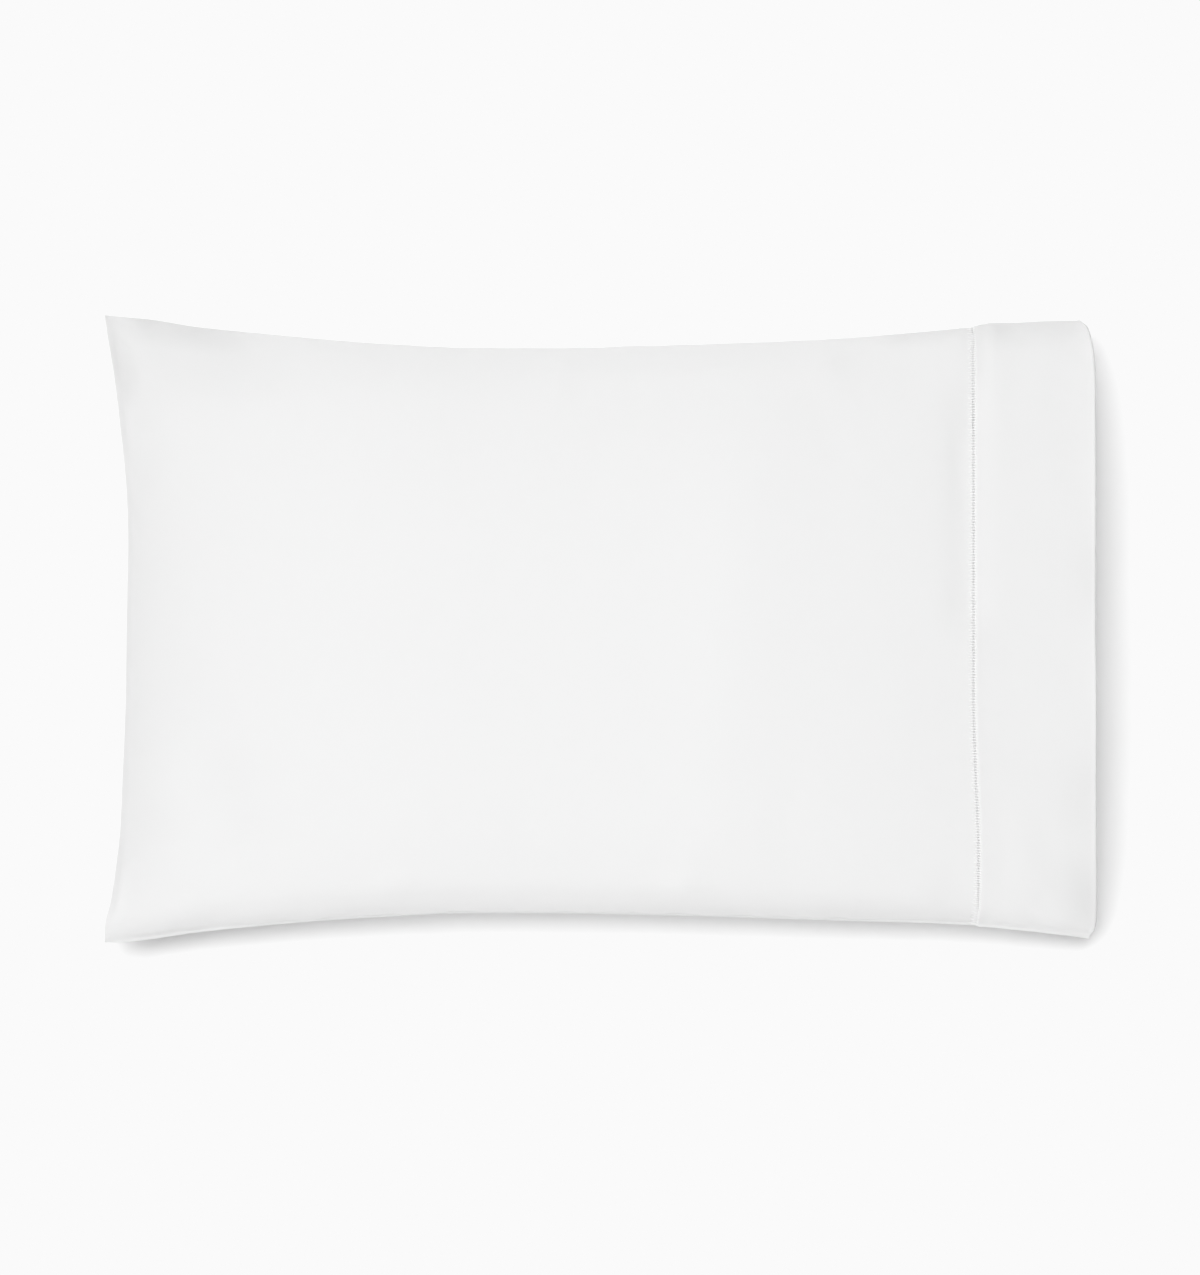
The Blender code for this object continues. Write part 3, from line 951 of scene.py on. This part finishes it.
def cotton():
    """White cotton: its weave and slubs, faintly crumpled and uneven, with painted shade along its
    rims and in its corners.
    """
    material, tree, shader = new_material("white_cotton", specular=0.2, sheen=0.06)
    place = mesh_attribute(tree, "weave", "Vector")
    weave = plain_weave(tree, place)
    along_slub = stretched_noise(tree, place, (60, 1400, 1))
    across_slub = stretched_noise(tree, place, (1400, 60, 1))
    crumple = stretched_noise(tree, place, (22, 26, 1), 4.0, 0.55)
    slub = maths(tree, "ADD", along_slub, across_slub)
    height = maths(tree, "MULTIPLY", weave, WEAVE_HEIGHT)
    height = maths(tree, "ADD", height, maths(tree, "MULTIPLY", slub, SLUB_HEIGHT))
    height = maths(tree, "ADD", height, maths(tree, "MULTIPLY", crumple, CRUMPLE_HEIGHT))
    patches = stretched_noise(tree, place, (9, 12, 1), 3.0)
    threads = maths(tree, "MULTIPLY", slub, SLUB_SHARE)
    threads = maths(tree, "ADD", threads, maths(tree, "MULTIPLY", weave, WEAVE_SHARE))
    grey = ranged(tree, maths(tree, "ADD", patches, threads), *COTTON_GREYS)
    # painted shade: the cotton greyed along its rims and in its corners
    painted_shade = mesh_attribute(tree, "painted_shade", "Fac")
    grey = maths(tree, "MULTIPLY", grey, ranged(tree, painted_shade, 1.0, PAINTED_SHADE_GREY))
    rough = ranged(tree, maths(tree, "ADD", crumple, threads), *COTTON_ROUGHNESS)
    finish_shader(tree, shader, grey, rough, height)
    return material


def thread():
    """Brighter, smoother thread, with its strands along the case."""
    material, tree, shader = new_material("white_thread", specular=0.4, sheen=0.1)
    place = object_place(tree)
    strands = stretched_noise(tree, place, (900, 5200, 5200))
    dye = stretched_noise(tree, place, (40, 90, 90))
    grey = ranged(tree, dye, *THREAD_GREYS)
    rough = ranged(tree, strands, *THREAD_ROUGHNESS)
    finish_shader(tree, shader, grey, rough, maths(tree, "MULTIPLY", strands, STRAND_HEIGHT))
    return material


def floor_finish():
    """Matt paper with a fine grain."""
    material, tree, shader = new_material("pale_floor", specular=0.0, sheen=0.0)
    place = object_place(tree)
    grain = stretched_noise(tree, place, (700, 700, 700), 3.0)
    cloudy = stretched_noise(tree, place, (3, 3, 3))
    grey = ranged(tree, maths(tree, "ADD", grain, cloudy), *FLOOR_GREYS)
    rough = ranged(tree, grain, *FLOOR_ROUGHNESS)
    finish_shader(tree, shader, grey, rough, maths(tree, "MULTIPLY", grain, FLOOR_GRAIN))
    return material


# ---------------------------------------------------------------- floor, light and camera
PAPER_WHITE = 0.956  # the photograph's background, in linear light
FLOOR_HALF = 40.0  # metres
FLOOR_DROP = 0.3 * MM  # how far the floor lies under the case, so that their faces don't meet

# The floor and the case are lit apart: the floor's shadow falls to one side only, while the
# cloth is lit nearly evenly from all sides.
# name, towards the light, strength, the light's width in degrees
FLOOR_LIGHTS = (
    ("floor_key", (0.0, 0.255, 1.0), 0.9, 24),
    ("floor_corner_key", (-0.20, 0.28, 1.0), 0.8, 24),
    ("floor_side_key", (-0.36, 0.08, 1.0), 0.88, 26),
    ("floor_dome", (0, 0, 1), 1.05, 180),
)
CASE_LIGHTS = (
    ("case_key", (-0.2, 0.25, 1.0), 1.03, 40),
    ("from_south", (0, -1, 0.5), 1.27, 60),
    ("from_north", (0, 1, 0.5), 0.91, 60),
    ("from_west", (-1, 0, 1.3), 0.87, 60),
    ("from_east", (1, 0, 1.3), 0.74, 60),
)


def collection_of(name, *objects):
    group = bpy.data.collections.new(name)
    for obj in objects:
        group.objects.link(obj)
    return group


def sun(name, towards, strength, angle, receivers):
    """A far soft light that shines from this direction, on the receivers only."""
    data = bpy.data.lights.new(name, "SUN")
    data.energy = strength
    data.angle = math.radians(angle)
    light = bpy.data.objects.new(name, data)
    light.rotation_mode = "QUATERNION"
    light.rotation_quaternion = Vector(towards).to_track_quat("Z", "Y")
    bpy.context.scene.collection.objects.link(light)
    light.light_linking.receiver_collection = receivers


def build_floor():
    mesh = bpy.data.meshes.new("floor")
    corners = [
        (x * FLOOR_HALF, y * FLOOR_HALF, -FLOOR_DROP)
        for x, y in ((-1, -1), (1, -1), (1, 1), (-1, 1))
    ]
    mesh.from_pydata(corners, [], [(0, 1, 2, 3)])
    mesh.materials.append(floor_finish())
    floor = bpy.data.objects.new("floor", mesh)
    bpy.context.scene.collection.objects.link(floor)
    return floor


def build_world():
    """The background's white where the camera looks past the floor, and no light from it."""
    world = bpy.data.worlds.new("studio")
    bpy.context.scene.world = world
    world.use_nodes = True
    nodes, links = world.node_tree.nodes, world.node_tree.links
    back = nodes["Background"]
    back.inputs["Color"].default_value = (PAPER_WHITE, PAPER_WHITE, PAPER_WHITE, 1)
    path = nodes.new("ShaderNodeLightPath")
    links.new(path.outputs["Is Camera Ray"], back.inputs["Strength"])


def build_camera():
    data = bpy.data.cameras.new("camera")
    data.lens, data.sensor_width = LENS, SENSOR
    camera = bpy.data.objects.new("camera", data)
    camera.location = Vector((*CAMERA_OVER, CAMERA_HEIGHT)) * MM
    bpy.context.scene.collection.objects.link(camera)
    bpy.context.scene.camera = camera


def white_clip(scene):
    """Holds everything brighter than the photograph's background at that background's white."""
    scene.view_settings.use_curve_mapping = True
    mapping = scene.view_settings.curve_mapping
    mapping.extend = "HORIZONTAL"
    curve = mapping.curves[3]
    curve.points[0].location = (0, 0)
    curve.points[-1].location = (1, PAPER_WHITE)
    curve.points.new(PAPER_WHITE, PAPER_WHITE)
    for point in curve.points:
        point.handle_type = "VECTOR"
    mapping.update()


# ---------------------------------------------------------------- the whole
showing, bearing, outward = finished_sheets()
case = build_case(showing, cotton())
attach(case, "root")
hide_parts("pillowcase")

hemstitch = build_hemstitch(bearing, outward, thread())
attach(hemstitch, "root")

floor = build_floor()
build_world()
build_camera()
on_case = collection_of("lit_with_the_case", case, hemstitch)
on_floor = collection_of("lit_with_the_floor", floor)
for light in FLOOR_LIGHTS:
    sun(*light, on_floor)
for light in CASE_LIGHTS:
    sun(*light, on_case)

scene = bpy.context.scene
scene.view_settings.view_transform = "Standard"
white_clip(scene)
